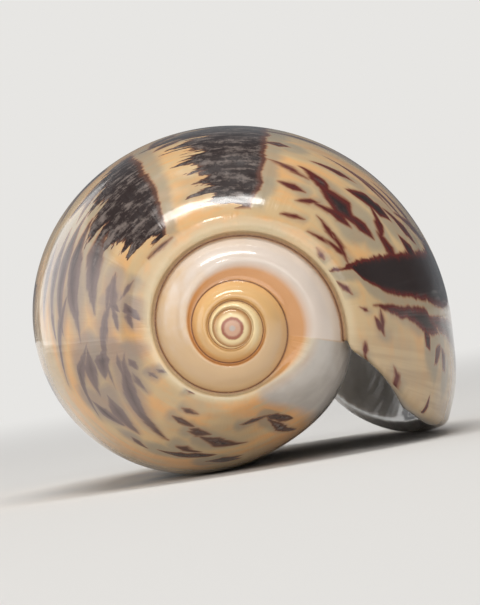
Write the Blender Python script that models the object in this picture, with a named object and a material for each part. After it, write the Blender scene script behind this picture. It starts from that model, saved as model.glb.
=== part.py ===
"""An olive shell that lies on its mouth, built as one spiral solid.

The shell grows round an axis. In the shell's own frame that axis is +Y, with the pointed apex
near Y = 0, X to the right and Z up, as somebody looking down on the apex would see it.

A place on the surface has two numbers. TURN counts whole turns back from the lip: 0 is the lip,
1 is one turn earlier. STEP runs down the whorl from one named point of its profile to the next:
0 suture groove, 1 crest of the rim, 2 shoulder, 3 widest point, 4 front end.
"""

import math

import bmesh
import bpy
import numpy as np
from mathutils import Matrix, Vector

MM = 0.001

# Driving dimensions
SHELL_LENGTH = 41.0 * MM
MEAN_RADIUS = 14.9 * MM  # sets the widest radius, which is 13.1 mm at the lip
TURN_GROWTH = 2.12  # the widest radius grows this many times in a turn
OVAL_COS = -0.122
OVAL_SIN = -0.068
OVAL_TWIST = 0.022
PERIPHERY_LEAD = 0.0594  # turns, from the lip's end at the suture to its widest point
PERIPHERY_DEPTH = 18.5 * MM
PERIPHERY_CLIMB = 4.0 * MM
COVERED_SWELL = 1.01

# The spire
SUTURE_RADIUS = 6.05 * MM
SUTURE_DROP = 4.4 * MM
SUTURE_RATE = 0.7538
SUTURE_SLOWING = 0.0551
SPIRE_POWER = 0.88
FIRST_TURN = 3.0
GROOVE_WIDTH = 0.42 * MM
GROOVE_DEPTH = 0.50 * MM
PAD_WIDTH = 1.15 * MM  # the glaze beside the mouth moves the crest this far out of the groove
PAD_SLOPE = 0.35
NUCLEUS_RISE = 0.40 * MM

# The body whorl's roundness, as a share of the way from its shoulder to its widest point
SHOULDER_REACH = 0.24

# The lip, the mouth and the front end
LIP_ANGLE = math.radians(-6.6)
LIP_LEAD_BACK = 0.046
LIP_LEAD_FRONT = 0.023
LIP_LEAD_END = 0.060
LIP_FLARE = 0.30 * MM
WALL = 1.5 * MM
INNER_END_TURN = 0.62  # the hollow reaches this far back
SLOT_END_TURN = 0.50  # the opening at the front end reaches this far back
TIP_RADIUS = 2.5 * MM
TIP_OFFSET = 0.7 * MM
TIP_SIDE = math.radians(200.0)
TIP_ROUND = 0.5 * MM
LIP_END_RADIUS = 6.4 * MM
LIP_END_DEPTH = 39.3 * MM
NOTCH_DEPTH = 2.8 * MM
NOTCH_SPREAD = 0.9 * MM

# Callus and folds beside the mouth
CALLUS = 0.22 * MM
FOLD_PITCH = 2.5 * MM
FOLD_HEIGHT = 0.42 * MM
FOLD_FIRST_DEPTH = 17.0 * MM
FOLD_SLANT = 9.0 * MM  # how far a fold climbs in a turn

# How the shell lies
REST_ROLL = math.radians(-9.2)
REST_PITCH = math.radians(-0.117)

# How finely it is faceted
TURN_ROWS = 44
STEP_COLUMNS = (1, 4, 6, 30)
ROLL_ROWS = 3
CAP_RINGS = 1
STITCH = 0.005 * MM


def mix(first, second, share):
    return first + (second - first) * share


def smooth(value, start, end):
    share = np.clip((value - start) / (end - start), 0.0, 1.0)
    return share * share * (3.0 - 2.0 * share)


def bezier(points, share):
    """A cubic curve's (radius, depth) at SHARE of its way."""
    left = 1.0 - share
    weights = (left**3, 3 * left**2 * share, 3 * left * share**2, share**3)
    return np.stack([sum(w * p[axis] for w, p in zip(weights, points)) for axis in (0, 1)])


def chain(pieces, step):
    """Bezier pieces end to end, with STEP counting whole pieces."""
    place = np.stack([pieces[0][0][0] + 0 * step, pieces[0][0][1] + 0 * step])
    for index, points in enumerate(pieces):
        share = np.clip(step - index, 0.0, 1.0)
        place = place + bezier(points, share) - bezier(points, 0 * share)
    return place


def suture(turn):
    """The floor of the suture groove, as (radius, depth below the apex)."""
    turn = np.minimum(turn, FIRST_TURN)
    radius = SUTURE_RADIUS * np.exp(SUTURE_SLOWING * turn**2 - SUTURE_RATE * turn)
    nucleus = math.exp(SUTURE_SLOWING * FIRST_TURN**2 - SUTURE_RATE * FIRST_TURN)
    share = (radius / SUTURE_RADIUS) ** SPIRE_POWER - nucleus**SPIRE_POWER
    return np.stack([radius, NUCLEUS_RISE + SUTURE_DROP * share])


def periphery(turn):
    """The whorl's widest point. A covered whorl is hardly wider than the suture laid on it."""
    grown = turn + PERIPHERY_LEAD
    angle = 2 * math.pi * grown
    oval = OVAL_COS * np.cos(angle) + OVAL_SIN * np.sin(angle) + OVAL_TWIST * np.sin(2 * angle)
    free = MEAN_RADIUS * np.exp(oval - math.log(TURN_GROWTH) * grown)
    free = free + LIP_FLARE * smooth(-turn, -0.02, 0.03)
    covered = COVERED_SWELL * suture(turn - 1.0)[0]
    depth = PERIPHERY_DEPTH - PERIPHERY_CLIMB * turn * np.abs(turn)
    return np.stack([mix(free, covered, smooth(turn, 0.72, 0.95)), depth])


def front_end(turn):
    """Where the whorl stops at the front: on the pillar's tip, or on the open slot's free edge."""
    angle = LIP_ANGLE + 2 * math.pi * turn
    tip = np.stack([TIP_RADIUS + TIP_OFFSET * np.cos(angle - TIP_SIDE), SHELL_LENGTH - TIP_ROUND + 0 * turn])
    share = np.clip((turn + LIP_LEAD_END) / (SLOT_END_TURN + LIP_LEAD_END), 0.0, 1.0)
    bow = np.sin(math.pi * share) ** 2
    edge = np.stack(
        [
            mix(LIP_END_RADIUS, tip[0], share**2.2) + NOTCH_SPREAD * bow,
            mix(LIP_END_DEPTH, tip[1], share) - NOTCH_DEPTH * bow,
        ]
    )
    return np.where(turn < SLOT_END_TURN, edge, tip)


def knots(turn):
    """The profile's named points and its slope at the shoulder and the front end."""
    groove = suture(turn)
    scale = np.sqrt(groove[0] / SUTURE_RADIUS) * (1.0 - smooth(turn, FIRST_TURN, FIRST_TURN + 1.0))
    pad = PAD_WIDTH * smooth(turn, 0.84, 1.03) * (1.0 - smooth(turn, 1.03, 1.60))
    crest = groove + np.stack([GROOVE_WIDTH * scale + pad, PAD_SLOPE * pad - GROOVE_DEPTH * scale])
    widest = periphery(turn)
    covered = smooth(turn, 0.8, 1.0)
    free = np.stack([mix(groove[0], widest[0], 0.68), mix(groove[1], widest[1], 0.20)])
    shoulder = mix(free, suture(turn - 1.0), covered)
    slope = np.stack([mix(0.70, 0.42, covered), mix(0.71, 0.91, covered)])
    end = front_end(turn)
    on_tip = smooth(turn, 0.3, SLOT_END_TURN)
    on_pillar = smooth(turn, 0.75, 1.05)
    end_slope = np.stack([mix(-0.55, -0.80, on_tip), mix(0.83, 0.60, on_tip)])
    end_slope = mix(end_slope, np.stack([0 * turn - 0.30, 0 * turn + 0.95]), on_pillar)
    return groove, crest, shoulder, slope, widest, end, end_slope


def length(vector):
    return np.sqrt(vector[0] ** 2 + vector[1] ** 2)


def outward(reach):
    return np.stack([reach, 0 * reach])


def down(reach):
    return np.stack([0 * reach, reach])


def whorl_profile(turn, step):
    """The smooth outer surface, as (radius, depth)."""
    groove, crest, shoulder, slope, widest, end, end_slope = knots(turn)
    gap = crest[0] - groove[0]
    rise = shoulder - crest
    drop = widest - shoulder
    taper = end - widest
    pieces = (
        (groove, groove + outward(0.7 * gap), crest - outward(0.6 * gap), crest),
        (crest, crest + outward(0.4 * rise[0]), shoulder - slope * 0.35 * length(rise), shoulder),
        (shoulder, shoulder + slope * SHOULDER_REACH * length(drop), widest - down(0.45 * drop[1]), widest),
        (widest, widest + down(0.42 * taper[1]), end - end_slope * 0.30 * length(taper), end),
    )
    return chain(pieces, step)


def callus_and_folds(turn, place, step):
    """The glaze beside the mouth and the ridges on the pillar, as extra radius."""
    near_mouth = smooth(turn, 0.84, 0.97) * (1.0 - smooth(turn, 1.06, 1.20))
    glaze = CALLUS * near_mouth * smooth(step, 2.0, 2.8)
    beside = smooth(turn, 0.90, 0.98) * (1.0 - smooth(turn, 1.05, 1.16))
    depth = place[1] - FOLD_FIRST_DEPTH + FOLD_SLANT * (turn - 1.0)
    wave = 0.5 - 0.5 * np.cos(2 * math.pi * depth / FOLD_PITCH)
    reach = smooth(depth, 0.0, 12.0 * MM) * (1.0 - smooth(place[1], 37.5 * MM, 39.8 * MM))
    return glaze * (1.0 - smooth(step, 3.8, 4.0)) + FOLD_HEIGHT * wave * reach * beside


def lead(turn, step):
    """How far the growth lines run ahead of their end at the suture, in turns."""
    forward = LIP_LEAD_BACK * smooth(step, 0.5, 2.4) + LIP_LEAD_FRONT * smooth(step, 2.9, 3.7)
    forward = forward + (LIP_LEAD_END - LIP_LEAD_BACK - LIP_LEAD_FRONT) * smooth(step, 3.7, 4.0)
    return forward * (1.0 - smooth(turn, 0.0, SLOT_END_TURN))


def in_space(turn, place):
    """A (radius, depth) on the half-plane at TURN, as a point in the shell's own frame."""
    angle = LIP_ANGLE + 2 * math.pi * turn
    return np.stack([place[0] * np.cos(angle), place[1] + 0 * angle, place[0] * np.sin(angle)], axis=-1)


def outer_place(turn, step):
    turn = turn - lead(turn, step)
    place = whorl_profile(turn, step)
    place = place + outward(callus_and_folds(turn, place, step))
    return turn, place


def outer(turn, step):
    return in_space(*outer_place(turn, step))


def roof_step():
    """The step at which the hollow's roof meets the covered whorl."""
    return 2.0 + ROLL_ROWS / STEP_COLUMNS[2]


def floor_step():
    """The step at which the wall of the hollow meets the pillar."""
    return 4.0 - ROLL_ROWS / STEP_COLUMNS[3]


def slot_closing(turn):
    """How far the open slot at the front has closed: 0 at the lip, 1 at the slot's end."""
    return np.clip(turn / SLOT_END_TURN, 0.0, 1.0) ** 3


def inner(turn, step):
    """The wall of the hollow: it starts on the covered whorl and ends at the pillar."""
    turn_here = turn - lead(turn, step)
    _, _, shoulder, slope, widest, end, end_slope = knots(turn_here)
    zero = 0 * turn_here
    roof = outer_place(turn_here + 1.0, roof_step() + zero)[1]
    floor = outer_place(turn_here + 1.0, floor_step() + zero)[1]
    shoulder_in = shoulder + WALL * np.stack([-slope[1], slope[0]])
    widest_in = widest - outward(WALL + zero)
    free_end = end - WALL * np.stack([end_slope[1], -end_slope[0]])
    gap = free_end - floor
    gap = np.stack([np.maximum(gap[0], np.maximum(-0.35 * gap[1], 0.0)), gap[1]])
    end_in = floor + gap * (1.0 - slot_closing(turn_here))
    span = shoulder_in - roof
    drop = widest_in - shoulder_in
    taper = end_in - widest_in
    pieces = (
        (roof, roof + outward(0.45 * span[0]), shoulder_in - slope * 0.25 * length(span), shoulder_in),
        (shoulder_in, shoulder_in + slope * 0.3 * length(drop), widest_in - down(0.45 * drop[1]), widest_in),
        (widest_in, widest_in + down(0.42 * taper[1]), end_in - end_slope * 0.3 * length(taper), end_in),
    )
    half_step = np.where(step < 2.0, step / 2.0, step - 1.0)
    return in_space(turn_here, chain(pieces, half_step))


def rolled(start, finish, forward, around):
    """A half-round edge from one surface to the other, swollen along FORWARD."""
    swell = np.minimum(0.5 * np.linalg.norm(start - finish, axis=-1, keepdims=True), 0.5 * WALL)
    turned = math.pi * around[..., None]
    middle = (start + finish) / 2
    return middle + (start - finish) / 2 * np.cos(turned) + forward * swell * np.sin(turned)


def lip_forward(turn, step):
    angle = LIP_ANGLE + 2 * math.pi * (turn - lead(turn, step))
    return np.stack([np.sin(angle), 0 * angle, -np.cos(angle)], axis=-1)


def lip_roll_free(step, around):
    zero = 0 * step
    return rolled(outer(zero, step), inner(zero, step), lip_forward(zero, step), around)


def lip_roll(step, around):
    """The lip's rounded edge, let down onto the covered whorl at the suture."""
    zero = 0 * step
    on_whorl = outer(zero + 1.0, 2.0 + (roof_step() - 2.0) * around)
    gap = on_whorl - lip_roll_free(zero, around)
    return lip_roll_free(step, around) + gap * (1.0 - smooth(step, 0.0, 1.8))[..., None]


def slot_roll_free(turn, around):
    zero = 0 * turn
    towards_front = np.stack([zero, 1.0 - slot_closing(turn), zero], axis=-1)
    return rolled(outer(turn, zero + 4.0), inner(turn, zero + 4.0), towards_front, around)


def slot_roll(turn, around):
    """The free edge at the front end, joined to the lip's edge and let down onto the pillar."""
    zero = 0 * turn
    to_lip = lip_roll(zero + 4.0, around) - slot_roll_free(zero, around)
    end = zero + SLOT_END_TURN
    on_pillar = outer(end + 1.0, 4.0 - (4.0 - floor_step()) * around)
    to_pillar = on_pillar - slot_roll_free(end, around)
    edge = slot_roll_free(turn, around)
    edge = edge + to_lip * (1.0 - smooth(turn, 0.0, 0.09))[..., None]
    return edge + to_pillar * smooth(turn, SLOT_END_TURN - 0.09, SLOT_END_TURN)[..., None]


def steps_of(first, last):
    """The step values of the columns from FIRST to LAST, which are whole or roof and floor steps."""
    values = [0.0]
    for index, count in enumerate(STEP_COLUMNS):
        values += [index + (column + 1) / count for column in range(count)]
    near = 1e-6
    return [value for value in values if first - near <= value <= last + near]


def turns_of(first, last):
    rows = round((last - first) * TURN_ROWS)
    return [first + row / TURN_ROWS for row in range(rows + 1)]


def add_patch(mesh, rows, columns, place):
    """A grid whose points are moved onto the surface PLACE(row value, column value)."""
    made = bmesh.ops.create_grid(mesh, x_segments=len(rows) - 1, y_segments=len(columns) - 1, size=0.5)
    verts = made["verts"]
    row = np.array([round((v.co.x + 0.5) * (len(rows) - 1)) for v in verts])
    column = np.array([round((v.co.y + 0.5) * (len(columns) - 1)) for v in verts])
    points = place(np.array(rows)[row], np.array(columns)[column])
    for vert, point in zip(verts, points):
        vert.co = Vector(point)


def nucleus(turn, ring):
    """The blunt first whorl, a dome that closes the spire."""
    radius, depth = suture(0 * turn + FIRST_TURN)
    bent = 0.5 * math.pi * ring
    return in_space(turn, np.stack([radius * np.cos(bent), depth - NUCLEUS_RISE * np.sin(bent)]))


def pillar_tip(turn, ring):
    """The rounded front end of the pillar, which goes on at the whorl's own slope."""
    turn_here = np.where(turn < SLOT_END_TURN, turn + 1.0, turn)
    rim = front_end(turn_here)
    slope = knots(turn_here)[6]
    zero = 0 * turn
    top = np.stack([zero, zero + SHELL_LENGTH])
    reach = 0.6 * TIP_ROUND / slope[1]
    points = (rim, rim + reach * slope, top + outward(0.6 * rim[0]), top)
    return in_space(turn, bezier(points, ring))


def shell_mesh():
    mesh = bmesh.new()
    whole_turn = turns_of(0.0, 1.0)
    around = [row / ROLL_ROWS for row in range(ROLL_ROWS + 1)]
    slot = turns_of(0.0, SLOT_END_TURN)
    behind_slot = turns_of(SLOT_END_TURN, INNER_END_TURN)
    add_patch(mesh, whole_turn, steps_of(0.0, 4.0), outer)
    add_patch(mesh, turns_of(1.0, FIRST_TURN + 1.0), steps_of(0.0, 2.0), outer)
    add_patch(mesh, [1.0 + turn for turn in slot], steps_of(roof_step(), 4.0), outer)
    add_patch(mesh, [1.0 + turn for turn in behind_slot], steps_of(roof_step(), floor_step()), outer)
    add_patch(mesh, slot + behind_slot[1:], steps_of(0.0, 4.0), inner)
    add_patch(mesh, steps_of(0.0, 4.0), around, lip_roll)
    add_patch(mesh, slot, around, slot_roll)
    rings = [ring / (CAP_RINGS + 1) for ring in range(CAP_RINGS + 2)]
    add_patch(mesh, whole_turn, rings, nucleus)
    add_patch(mesh, whole_turn, rings, pillar_tip)
    bmesh.ops.remove_doubles(mesh, verts=mesh.verts, dist=STITCH)
    open_edges = [edge for edge in mesh.edges if edge.is_boundary]
    print("open edges before the deep end is closed:", len(open_edges))
    bmesh.ops.holes_fill(mesh, edges=open_edges, sides=0)
    bmesh.ops.triangulate(mesh, faces=mesh.faces)
    bmesh.ops.recalc_face_normals(mesh, faces=mesh.faces)
    return mesh


def shell_material():
    """Glossy cream porcelain: the brown markings are left to the finish."""
    material = bpy.data.materials.new("glazed_shell")
    material.use_nodes = True
    shader = material.node_tree.nodes["Principled BSDF"]
    shader.inputs["Base Color"].default_value = (0.72, 0.55, 0.36, 1.0)
    shader.inputs["Roughness"].default_value = 0.25
    shader.inputs["Metallic"].default_value = 0.0
    return material


def lay_down(mesh):
    """Turns the shell onto its mouth and puts the middle of its footprint at the origin."""
    turned = Matrix.Rotation(REST_PITCH, 4, "X") @ Matrix.Rotation(-REST_ROLL, 4, "Y")
    bmesh.ops.transform(mesh, matrix=turned, verts=mesh.verts)
    points = np.array([vert.co for vert in mesh.verts])
    low = points.min(axis=0)
    high = points.max(axis=0)
    middle = Vector(((low[0] + high[0]) / 2, (low[1] + high[1]) / 2, low[2]))
    bmesh.ops.translate(mesh, verts=mesh.verts, vec=-middle)
    print("size in mm:", np.round((high - low) / MM, 2), "moved by:", np.round(-np.array(middle) / MM, 3))


def main():
    for old in list(bpy.data.objects):
        bpy.data.objects.remove(old)
    collection = bpy.data.collections.new("olive_shell")
    bpy.context.scene.collection.children.link(collection)
    mesh = shell_mesh()
    lay_down(mesh)
    data = bpy.data.meshes.new("shell")
    mesh.to_mesh(data)
    mesh.free()
    data.shade_smooth()
    data.materials.append(shell_material())
    collection.objects.link(bpy.data.objects.new("shell", data))


main()
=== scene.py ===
# %% [markdown]
# # An olive shell, grown by a rule
# This lesson dresses one object: the shell of a sea snail, which lies on its long narrow mouth and is
# seen from its pointed end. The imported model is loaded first. It fixes the size, and the finished shell
# has to stay inside its box, so the box is measured before anything is made.

# %% Load the frame and measure its box
import math

import bmesh
import bpy
import numpy as np
from mathutils import Matrix, Vector


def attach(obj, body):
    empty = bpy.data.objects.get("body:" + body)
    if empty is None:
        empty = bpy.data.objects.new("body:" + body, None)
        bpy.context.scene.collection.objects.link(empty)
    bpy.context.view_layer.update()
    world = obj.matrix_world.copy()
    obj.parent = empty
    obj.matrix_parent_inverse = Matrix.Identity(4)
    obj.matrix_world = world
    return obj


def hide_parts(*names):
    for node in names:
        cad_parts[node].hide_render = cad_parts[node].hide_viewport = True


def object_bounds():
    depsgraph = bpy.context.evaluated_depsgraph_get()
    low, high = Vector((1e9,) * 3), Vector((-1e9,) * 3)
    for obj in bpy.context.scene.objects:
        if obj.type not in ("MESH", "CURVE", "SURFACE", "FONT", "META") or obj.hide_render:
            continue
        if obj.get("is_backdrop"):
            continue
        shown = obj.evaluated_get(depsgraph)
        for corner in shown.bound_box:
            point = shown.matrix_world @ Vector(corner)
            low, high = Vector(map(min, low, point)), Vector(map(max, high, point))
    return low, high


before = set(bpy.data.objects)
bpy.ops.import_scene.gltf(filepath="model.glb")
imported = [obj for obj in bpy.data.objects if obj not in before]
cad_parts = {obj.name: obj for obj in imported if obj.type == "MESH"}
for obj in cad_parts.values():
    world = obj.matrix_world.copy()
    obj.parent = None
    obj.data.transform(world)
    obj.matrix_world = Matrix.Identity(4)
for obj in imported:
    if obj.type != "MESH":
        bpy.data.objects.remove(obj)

cad_low, cad_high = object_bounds()
print("the frame's box in mm:", [round(1000 * side, 2) for side in cad_high - cad_low])

# %% [markdown]
# ## How such a shell grows
# A snail adds shell only at the lip of its mouth, and it turns while it grows. So every place on the
# surface has two numbers. `turn` counts whole turns back from the lip: 0 is the lip, 1 is one turn
# earlier. `step` runs down the whorl: 0 is the groove at the suture, 1 the crest of its rim, 2 the
# shoulder, 3 the widest point and 4 the front end. The sizes below are millimetres and turns. They go
# into the node tree as named inputs, so the shell can be regrown with other sizes.

# %% The shell's sizes
SIZES = {
    "Shell length": 41.0,
    "Mean radius": 14.9,
    "Growth in a turn": 2.12,
    "Oval, first part": -0.122,
    "Oval, second part": -0.068,
    "Oval, twice in a turn": 0.022,
    "Widest point's lead": 0.0594,
    "Widest point's depth": 18.5,
    "Widest point's climb": 4.0,
    "Covered whorl's swell": 1.01,
    "Suture radius": 6.05,
    "Suture drop": 4.4,
    "Suture rate": 0.7538,
    "Suture slowing": 0.0551,
    "Spire power": 0.88,
    "First turn": 3.0,
    "Groove width": 0.42,
    "Groove depth": 0.50,
    "Pad width": 1.15,
    "Pad slope": 0.35,
    "Nucleus rise": 0.40,
    "Shoulder's reach": 0.24,
    "Lip lead at the back": 0.046,
    "Lip lead in the middle": 0.023,
    "Lip lead at the front": 0.060,
    "Lip flare": 0.30,
    "Wall": 1.5,
    "Slot's end": 0.50,
    "Tip radius": 2.5,
    "Tip offset": 0.7,
    "Tip rounding": 0.5,
    "Lip end radius": 6.4,
    "Lip end depth": 39.3,
    "Notch depth": 2.8,
    "Notch spread": 0.9,
    "Callus": 0.22,
    "Fold pitch": 2.5,
    "Fold height": 0.42,
    "First fold's depth": 17.0,
    "Fold slant": 9.0,
}
LIP_ANGLE = math.radians(-6.6)
TIP_SIDE = math.radians(200.0)
HOLLOW_END = 0.62  # the hollow reaches this many turns back
print(len(SIZES), "named sizes")

# %% [markdown]
# ## Writing formulas as nodes
# The surface is a formula, and Geometry Nodes work it out for every vertex at once. Placing hundreds of
# Math nodes by hand would be slow and hard to read. So a small class stands for one number that flows
# through a tree, and plus, minus, times and the rest each add the Math node that they mean. Numpy's
# object arrays then carry two or three such numbers together, as a radius and a depth.

# %% Numbers that flow through a node tree
class Flow:
    """One number in the tree that is being written."""

    def __init__(self, socket):
        self.socket = socket

    def __neg__(self):
        return calc("MULTIPLY", self, -1.0)


def calc(operation, *terms):
    node = Rule.now.tree.nodes.new("ShaderNodeMath")
    node.operation = operation
    for socket, term in zip(node.inputs, terms):
        plug(term, socket)
    return Flow(node.outputs[0])


def plug(term, socket):
    if isinstance(term, Flow):
        Rule.now.tree.links.new(term.socket, socket)
    else:
        socket.default_value = term


def operator(operation, swapped=False):
    def method(self, other):
        if isinstance(other, np.ndarray):
            return NotImplemented
        return calc(operation, other, self) if swapped else calc(operation, self, other)

    return method


SIGNS = {"add": "ADD", "sub": "SUBTRACT", "mul": "MULTIPLY", "truediv": "DIVIDE", "pow": "POWER"}
for name, operation in SIGNS.items():
    setattr(Flow, f"__{name}__", operator(operation))
    setattr(Flow, f"__r{name}__", operator(operation, swapped=True))


# %% [markdown]
# A formula that is used in several places becomes a node group. The group's inputs are its own numbers
# and, behind them, the named sizes that it needs. A size that an inner group needs is asked for by every
# group round it, up to the shell's own tree, where it ends as an input of the modifier.

# %% A formula as a node group
class Rule:
    """A node group that is being written, with its own numbers and the sizes it needs."""

    now = None

    def __init__(self, title, numbers):
        self.tree = bpy.data.node_groups.new(title, "GeometryNodeTree")
        self.entry = self.tree.nodes.new("NodeGroupInput")
        self.numbers = list(numbers)
        self.sizes = []
        for label in self.numbers:
            self.tree.interface.new_socket(label, in_out="INPUT", socket_type="NodeSocketFloat")
        Rule.now = self

    def size(self, label):
        if label not in self.sizes:
            self.sizes.append(label)
            made = self.tree.interface.new_socket(label, in_out="INPUT", socket_type="NodeSocketFloat")
            made.default_value = SIZES[label]
        return Flow(self.entry.outputs[label])

    def finish(self, results, labels):
        leave = self.tree.nodes.new("NodeGroupOutput")
        for label, result in zip(labels, results):
            self.tree.interface.new_socket(label, in_out="OUTPUT", socket_type="NodeSocketFloat")
            plug(result, leave.inputs[label])

    def __call__(self, *numbers):
        node = Rule.now.tree.nodes.new("GeometryNodeGroup")
        node.node_tree = self.tree
        for label, number in zip(self.numbers, numbers):
            plug(number, node.inputs[label])
        for label in self.sizes:
            plug(Rule.now.size(label), node.inputs[label])
        results = [Flow(socket) for socket in node.outputs]
        return results[0] if len(results) == 1 else np.array(results, dtype=object)


def size(label):
    return Rule.now.size(label)


def rule(title, numbers, labels):
    """Makes the function below it a node group."""

    def make(formula):
        group = Rule(title, numbers)
        flows = formula(*[Flow(group.entry.outputs[label]) for label in numbers])
        group.finish(flows if isinstance(flows, np.ndarray) else [flows], labels)
        return group

    return make


# %% [markdown]
# A few helpers say what the formulas do most: carry numbers together, mix two of them, rise softly
# from 0 to 1, and join Bezier curves end to end. With them a formula reads as a sentence.

# %% The helpers that every formula uses
def together(*flows):
    return np.array(flows, dtype=object)


def mix(first, second, share):
    return first + (second - first) * share


def smooth(value, start, end, kind="SMOOTHSTEP"):
    """0 below START, 1 above END and a soft rise between them."""
    node = Rule.now.tree.nodes.new("ShaderNodeMapRange")
    node.interpolation_type = kind
    node.clamp = kind == "LINEAR"
    plug(value, node.inputs["Value"])
    plug(start, node.inputs["From Min"])
    plug(end, node.inputs["From Max"])
    return Flow(node.outputs[0])


def ramp(value, start, end):
    return smooth(value, start, end, "LINEAR")


def outward(reach):
    return together(reach, 0.0)


def down(reach):
    return together(0.0, reach)


def length(arrow):
    return calc("SQRT", arrow[0] * arrow[0] + arrow[1] * arrow[1])


def chain(pieces, step):
    """Bezier pieces (radius, depth) end to end, with STEP counting whole pieces."""
    place = pieces[0][0]
    for index, points in enumerate(pieces):
        share = ramp(step, float(index), index + 1.0)
        left = 1.0 - share
        near = (left * left * left - 1.0, 3.0 * left * left * share)
        far = (3.0 * left * share * share, share * share * share)
        for weight, point in zip(near + far, points):
            place = place + weight * point
    return place


# %% [markdown]
# ## The lines that steer the whorl
# Four lines wind along the whorl and steer its profile: the suture, the widest point, the front end and
# the crest between the suture and the shoulder. Each is a group that gives a radius and a depth for any
# turn. The suture and the widest point shrink by the same factor in each turn back, as on every shell
# that keeps its shape while it grows.

# %% The suture and the widest point
@rule("Suture", ["Turn"], ["Radius", "Depth"])
def suture(turn):
    first = size("First turn")
    slowing = size("Suture slowing")
    rate = size("Suture rate")
    here = calc("MINIMUM", turn, first)
    share = calc("EXPONENT", (slowing * here - rate) * here)
    nucleus_share = calc("EXPONENT", (slowing * first - rate) * first)
    power = size("Spire power")
    depth = size("Nucleus rise") + size("Suture drop") * (share**power - nucleus_share**power)
    return together(size("Suture radius") * share, depth)


@rule("Widest point", ["Turn"], ["Radius", "Depth"])
def widest_point(turn):
    grown = turn + size("Widest point's lead")
    angle = grown * (2 * math.pi)
    oval = size("Oval, first part") * calc("COSINE", angle) + size("Oval, second part") * calc("SINE", angle)
    oval = oval + size("Oval, twice in a turn") * calc("SINE", angle * 2.0)
    shrink = calc("LOGARITHM", size("Growth in a turn"), math.e) * grown
    free = size("Mean radius") * calc("EXPONENT", oval - shrink)
    free = free + size("Lip flare") * smooth(-turn, -0.02, 0.03)
    covered = size("Covered whorl's swell") * suture(turn - 1.0)[0]
    depth = size("Widest point's depth") - size("Widest point's climb") * turn * calc("ABSOLUTE", turn)
    return together(mix(free, covered, smooth(turn, 0.72, 0.95)), depth)


# %% [markdown]
# At the front the profile ends on the slot's free edge for half a turn and after that on the pillar's
# small tip. The notch is a bow in that edge: through it the living snail puts its breathing tube.

# %% The front end: the open slot's free edge, then the pillar's tip
@rule("Front end", ["Turn"], ["Radius", "Depth"])
def front_end(turn):
    angle = turn * (2 * math.pi) + (LIP_ANGLE - TIP_SIDE)
    tip = together(
        size("Tip radius") + size("Tip offset") * calc("COSINE", angle),
        size("Shell length") - size("Tip rounding"),
    )
    share = ramp(turn, -size("Lip lead at the front"), size("Slot's end"))
    bow = calc("SINE", share * math.pi)
    bow = bow * bow
    edge = together(
        mix(size("Lip end radius"), tip[0], share**2.2) + size("Notch spread") * bow,
        mix(size("Lip end depth"), tip[1], share) - size("Notch depth") * bow,
    )
    return mix(tip, edge, calc("LESS_THAN", turn, size("Slot's end")))


# %% [markdown]
# ## The profile
# The knots group puts all steering points of one turn together, with the slope of the profile at the
# shoulder and at the front end. Four cubic curves join them. The glaze beside the mouth and the folds on
# the pillar are added as extra radius.

# %% The knots of one turn
KNOTS = ["Groove", "Crest", "Shoulder", "Slope", "Widest", "End", "End slope"]


@rule("Knots", ["Turn"], [f"{knot} {axis}" for knot in KNOTS for axis in ("radius", "depth")])
def knots_of(turn):
    groove = suture(turn)
    first = size("First turn")
    scale = calc("SQRT", groove[0] / size("Suture radius")) * (1.0 - smooth(turn, first, first + 1.0))
    pad = size("Pad width") * smooth(turn, 0.84, 1.03) * (1.0 - smooth(turn, 1.03, 1.60))
    rim = together(size("Groove width") * scale + pad, size("Pad slope") * pad - size("Groove depth") * scale)
    widest = widest_point(turn)
    covered = smooth(turn, 0.8, 1.0)
    free = together(mix(groove[0], widest[0], 0.68), mix(groove[1], widest[1], 0.20))
    shoulder = mix(free, suture(turn - 1.0), covered)
    slope = together(mix(0.70, 0.42, covered), mix(0.71, 0.91, covered))
    on_tip = smooth(turn, 0.3, size("Slot's end"))
    end_slope = together(mix(-0.55, -0.80, on_tip), mix(0.83, 0.60, on_tip))
    end_slope = mix(end_slope, together(-0.30, 0.95), smooth(turn, 0.75, 1.05))
    return np.concatenate([groove, groove + rim, shoulder, slope, widest, front_end(turn), end_slope])


def knots(turn):
    return knots_of(turn).reshape(len(KNOTS), 2)


# %% [markdown]
# The curves' handles are shares of the distances they span, so the profile keeps its character while it
# shrinks. The folds are soft ridges that wind down the pillar.

# %% The profile with its glaze and folds
@rule("Outer place", ["Turn", "Step"], ["Radius", "Depth"])
def outer_place(turn, step):
    groove, crest, shoulder, slope, widest, end, end_slope = knots(turn)
    gap = crest[0] - groove[0]
    rise = shoulder - crest
    drop = widest - shoulder
    taper = end - widest
    pieces = (
        (groove, groove + outward(0.7 * gap), crest - outward(0.6 * gap), crest),
        (crest, crest + outward(0.4 * rise[0]), shoulder - slope * (0.35 * length(rise)), shoulder),
        (shoulder, shoulder + slope * (size("Shoulder's reach") * length(drop)),
         widest - down(0.45 * drop[1]), widest),
        (widest, widest + down(0.42 * taper[1]), end - end_slope * (0.30 * length(taper)), end),
    )
    place = chain(pieces, step)
    near_mouth = smooth(turn, 0.84, 0.97) * (1.0 - smooth(turn, 1.06, 1.20))
    glaze = size("Callus") * near_mouth * smooth(step, 2.0, 2.8) * (1.0 - smooth(step, 3.8, 4.0))
    beside = smooth(turn, 0.90, 0.98) * (1.0 - smooth(turn, 1.05, 1.16))
    depth = place[1] - size("First fold's depth") + size("Fold slant") * (turn - 1.0)
    wave = 0.5 - 0.5 * calc("COSINE", depth * (2 * math.pi) / size("Fold pitch"))
    reach = smooth(depth, 0.0, 12.0) * (1.0 - smooth(place[1], 37.5, 39.8))
    return place + outward(glaze + size("Fold height") * wave * reach * beside)


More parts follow.
